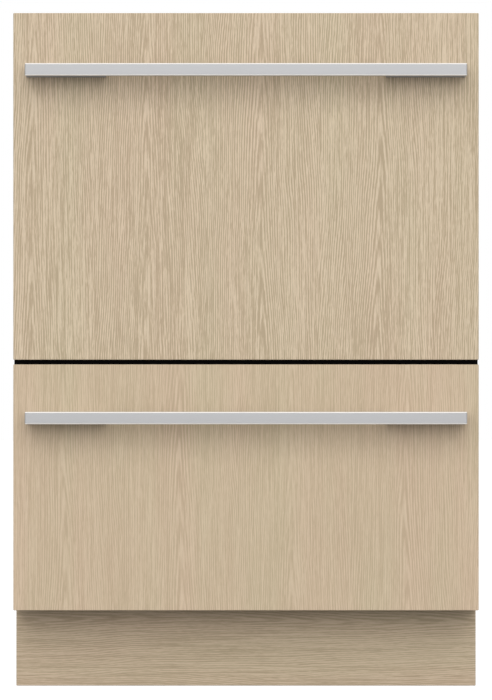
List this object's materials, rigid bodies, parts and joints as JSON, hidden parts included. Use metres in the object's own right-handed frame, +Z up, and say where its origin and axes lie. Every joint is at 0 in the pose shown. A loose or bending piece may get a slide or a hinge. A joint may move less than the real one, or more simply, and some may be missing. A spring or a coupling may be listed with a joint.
{
  "type": "dishwasher drawer",
  "caption": "Built-in dishwasher with stacked wood-fronted drawers on telescopic slides, long bar handles, and a tub, rack, spray arm and lid for each drawer.",
  "frame": {"origin": "on the floor, at the middle of the footprint", "axes": "+Z up, +Y to the back of the unit, +X to the right as seen from the front"},
  "size_m": [0.596, 0.61, 0.868],
  "materials": {
    "oak_front": "pale oak with upright grain, matt lacquer",
    "oak_kick": "pale oak with level grain, matt lacquer",
    "aluminium_bar": "satin anodised, brushed along its length",
    "galvanised_sheet": "galvanised, dull",
    "black_sheet": "black powder coat, matt",
    "slide_steel": "zinc plated",
    "tub_plastic": "fine grain, moulded",
    "dark_plastic": "moulded, satin",
    "pale_plastic": "moulded, satin",
    "rack_wire": "nylon-coated steel wire",
    "black_rubber": "matt"
  },
  "bodies": {
    "chassis": {"left_side_panel": "galvanised_sheet", "right_side_panel": "galvanised_sheet", "base_pan": "galvanised_sheet", "rear_panel": "galvanised_sheet", "top_panel": "galvanised_sheet", "middle_rail": "black_sheet", "kick_panel": "oak_kick", "drain_manifold": "dark_plastic", "inlet_valve": "pale_plastic", "terminal_box": "dark_plastic", "lower_drain_hose": "black_rubber", "upper_drain_hose": "black_rubber", "lower_left_outer_rail": "slide_steel", "lower_right_outer_rail": "slide_steel", "upper_left_outer_rail": "slide_steel", "upper_right_outer_rail": "slide_steel"},
    "front_left_foot": {"front_left_foot": "dark_plastic"},
    "front_right_foot": {"front_right_foot": "dark_plastic"},
    "rear_left_foot": {"rear_left_foot": "dark_plastic"},
    "rear_right_foot": {"rear_right_foot": "dark_plastic"},
    "lower_left_slide": {"lower_left_middle_rail": "slide_steel"},
    "lower_right_slide": {"lower_right_middle_rail": "slide_steel"},
    "upper_left_slide": {"upper_left_middle_rail": "slide_steel"},
    "upper_right_slide": {"upper_right_middle_rail": "slide_steel"},
    "lower_drawer": {"lower_front_panel": "oak_front", "lower_handle_bar": "aluminium_bar", "lower_left_handle_foot": "aluminium_bar", "lower_right_handle_foot": "aluminium_bar", "lower_drawer_frame": "dark_plastic", "lower_tub": "tub_plastic", "lower_wash_pump": "dark_plastic", "lower_filter_plate": "dark_plastic", "lower_rack": "rack_wire", "lower_dispenser": "pale_plastic"},
    "upper_drawer": {"upper_front_panel": "oak_front", "upper_handle_bar": "aluminium_bar", "upper_left_handle_foot": "aluminium_bar", "upper_right_handle_foot": "aluminium_bar", "upper_drawer_frame": "dark_plastic", "upper_tub": "tub_plastic", "upper_wash_pump": "dark_plastic", "upper_filter_plate": "dark_plastic", "upper_rack": "rack_wire", "upper_dispenser": "pale_plastic"},
    "lower_power_button": {"lower_power_button": "pale_plastic"},
    "lower_start_button": {"lower_start_button": "pale_plastic"},
    "upper_power_button": {"upper_power_button": "pale_plastic"},
    "upper_start_button": {"upper_start_button": "pale_plastic"},
    "lower_spray_arm": {"lower_spray_arm": "tub_plastic"},
    "upper_spray_arm": {"upper_spray_arm": "tub_plastic"},
    "lower_plate_comb": {"lower_plate_comb": "rack_wire"},
    "upper_plate_comb": {"upper_plate_comb": "rack_wire"},
    "lower_cup_shelf": {"lower_cup_shelf": "rack_wire"},
    "upper_cup_shelf": {"upper_cup_shelf": "rack_wire"},
    "lower_dispenser_door": {"lower_dispenser_door": "dark_plastic"},
    "upper_dispenser_door": {"upper_dispenser_door": "dark_plastic"},
    "lower_lid": {"lower_lid": "tub_plastic", "lower_lid_seal": "black_rubber"},
    "upper_lid": {"upper_lid": "tub_plastic", "upper_lid_seal": "black_rubber"}
  },
  "joints": [
    {"name": "front_left_foot_height", "type": "slide", "parent": "chassis", "child": "front_left_foot", "axis": [0, 0, -1], "range_m": [0, 0.03]},
    {"name": "front_right_foot_height", "type": "slide", "parent": "chassis", "child": "front_right_foot", "axis": [0, 0, -1], "range_m": [0, 0.03]},
    {"name": "rear_left_foot_height", "type": "slide", "parent": "chassis", "child": "rear_left_foot", "axis": [0, 0, -1], "range_m": [0, 0.03]},
    {"name": "rear_right_foot_height", "type": "slide", "parent": "chassis", "child": "rear_right_foot", "axis": [0, 0, -1], "range_m": [0, 0.03]},
    {"name": "lower_drawer_slide", "type": "slide", "parent": "chassis", "child": "lower_drawer", "axis": [0, -1, 0], "range_m": [0, 0.5], "deforming": ["lower_drain_hose"]},
    {"name": "lower_left_slide_travel", "type": "slide", "parent": "chassis", "child": "lower_left_slide", "axis": [0, -1, 0], "range_m": [0, 0.25]},
    {"name": "lower_right_slide_travel", "type": "slide", "parent": "chassis", "child": "lower_right_slide", "axis": [0, -1, 0], "range_m": [0, 0.25]},
    {"name": "upper_drawer_slide", "type": "slide", "parent": "chassis", "child": "upper_drawer", "axis": [0, -1, 0], "range_m": [0, 0.5], "deforming": ["upper_drain_hose"]},
    {"name": "upper_left_slide_travel", "type": "slide", "parent": "chassis", "child": "upper_left_slide", "axis": [0, -1, 0], "range_m": [0, 0.25]},
    {"name": "upper_right_slide_travel", "type": "slide", "parent": "chassis", "child": "upper_right_slide", "axis": [0, -1, 0], "range_m": [0, 0.25]},
    {"name": "lower_power_press", "type": "slide", "parent": "lower_drawer", "child": "lower_power_button", "axis": [0, 0, -1], "range_m": [0, 0.0012], "stiffness_N_per_m": 400, "springref_m": -0.002},
    {"name": "lower_start_press", "type": "slide", "parent": "lower_drawer", "child": "lower_start_button", "axis": [0, 0, -1], "range_m": [0, 0.0012], "stiffness_N_per_m": 400, "springref_m": -0.002},
    {"name": "upper_power_press", "type": "slide", "parent": "upper_drawer", "child": "upper_power_button", "axis": [0, 0, -1], "range_m": [0, 0.0012], "stiffness_N_per_m": 400, "springref_m": -0.002},
    {"name": "upper_start_press", "type": "slide", "parent": "upper_drawer", "child": "upper_start_button", "axis": [0, 0, -1], "range_m": [0, 0.0012], "stiffness_N_per_m": 400, "springref_m": -0.002},
    {"name": "lower_spray_spin", "type": "hinge", "parent": "lower_drawer", "child": "lower_spray_arm", "pos_m": [0, 0.0183, 0.177], "axis": [0, 0, 1], "continuous": true},
    {"name": "upper_spray_spin", "type": "hinge", "parent": "upper_drawer", "child": "upper_spray_arm", "pos_m": [0, 0.0183, 0.506], "axis": [0, 0, 1], "continuous": true},
    {"name": "lower_comb_fold", "type": "hinge", "parent": "lower_drawer", "child": "lower_plate_comb", "pos_m": [-0.03, 0.0183, 0.2003], "axis": [0, 1, 0], "range_deg": [0, 80]},
    {"name": "upper_comb_fold", "type": "hinge", "parent": "upper_drawer", "child": "upper_plate_comb", "pos_m": [-0.03, 0.0183, 0.5293], "axis": [0, 1, 0], "range_deg": [0, 80]},
    {"name": "lower_shelf_fold", "type": "hinge", "parent": "lower_drawer", "child": "lower_cup_shelf", "pos_m": [-0.2505, 0.0183, 0.27], "axis": [0, -1, 0], "range_deg": [0, 85]},
    {"name": "upper_shelf_fold", "type": "hinge", "parent": "upper_drawer", "child": "upper_cup_shelf", "pos_m": [-0.2505, 0.0183, 0.679], "axis": [0, -1, 0], "range_deg": [0, 85]},
    {"name": "lower_dispenser_slide", "type": "slide", "parent": "lower_drawer", "child": "lower_dispenser_door", "axis": [1, 0, 0], "range_m": [0, 0.06]},
    {"name": "upper_dispenser_slide", "type": "slide", "parent": "upper_drawer", "child": "upper_dispenser_door", "axis": [1, 0, 0], "range_m": [0, 0.06]},
    {"name": "lower_lid_drop", "type": "slide", "parent": "chassis", "child": "lower_lid", "axis": [0, 0, -1], "range_m": [0, 0.008], "stiffness_N_per_m": 1500, "springref_m": -0.02},
    {"name": "upper_lid_drop", "type": "slide", "parent": "chassis", "child": "upper_lid", "axis": [0, 0, -1], "range_m": [0, 0.008], "stiffness_N_per_m": 1500, "springref_m": -0.02}
  ],
  "couplings": [
    {"joint": "lower_left_slide_travel", "follows": "lower_drawer_slide", "ratio": 0.5},
    {"joint": "lower_right_slide_travel", "follows": "lower_drawer_slide", "ratio": 0.5},
    {"joint": "upper_left_slide_travel", "follows": "upper_drawer_slide", "ratio": 0.5},
    {"joint": "upper_right_slide_travel", "follows": "upper_drawer_slide", "ratio": 0.5}
  ]
}
